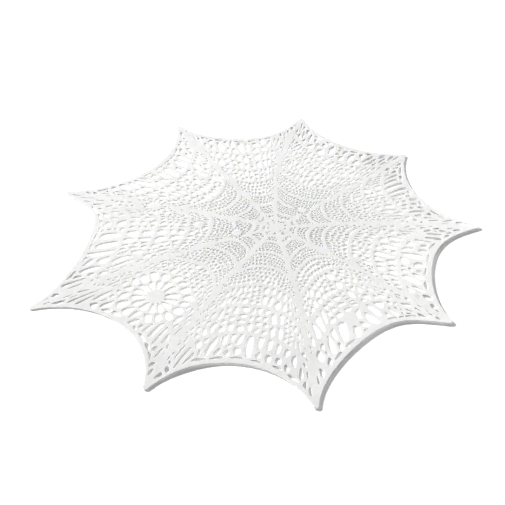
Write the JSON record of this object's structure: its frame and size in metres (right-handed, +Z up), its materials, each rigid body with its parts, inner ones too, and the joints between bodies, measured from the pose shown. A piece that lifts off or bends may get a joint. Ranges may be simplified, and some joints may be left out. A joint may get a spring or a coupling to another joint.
{
  "type": "spider-web table mat",
  "caption": "Flat, flexible openwork table mat: a pointed spider web cut from one sheet of satin white vinyl.",
  "frame": {"origin": "on the surface that the mat lies on, under the middle of its bounding box", "axes": "+Z up out of the mat's show face; +X towards the point that stands out furthest to the right"},
  "size_m": [0.3698, 0.377, 0.0012],
  "materials": {
    "web_vinyl": "satin"
  },
  "bodies": {
    "root": {"web_mat": "web_vinyl"}
  },
  "joints": []
}
